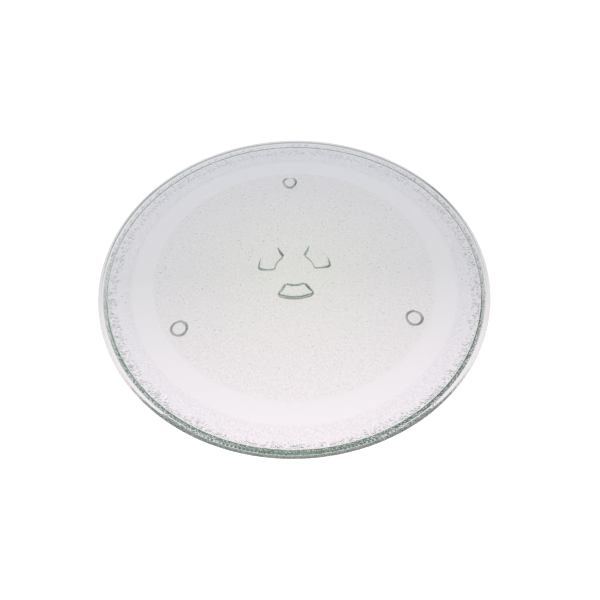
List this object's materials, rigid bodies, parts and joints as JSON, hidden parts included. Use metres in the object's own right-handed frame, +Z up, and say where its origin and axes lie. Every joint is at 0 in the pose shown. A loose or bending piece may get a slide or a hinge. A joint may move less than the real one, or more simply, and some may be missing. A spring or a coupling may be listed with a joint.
{
  "type": "microwave turntable plate",
  "caption": "Round clear pressed-glass turntable plate with a low rim, drive lugs round the middle of its underside, feet, a stippled base and a smooth roller track.",
  "frame": {"origin": "on the plate's axis, in the plane of the tips of its feet, which is the surface that it stands on", "axes": "+Z up along the plate's axis; one foot lies on +Y and one drive lug on -Y"},
  "size_m": [0.288, 0.288, 0.0156],
  "materials": {
    "glass": "clear pressed soda-lime glass, faintly green in its depth, smooth on top and stippled underneath"
  },
  "bodies": {
    "root": {"turntable_plate": "glass"}
  },
  "joints": []
}
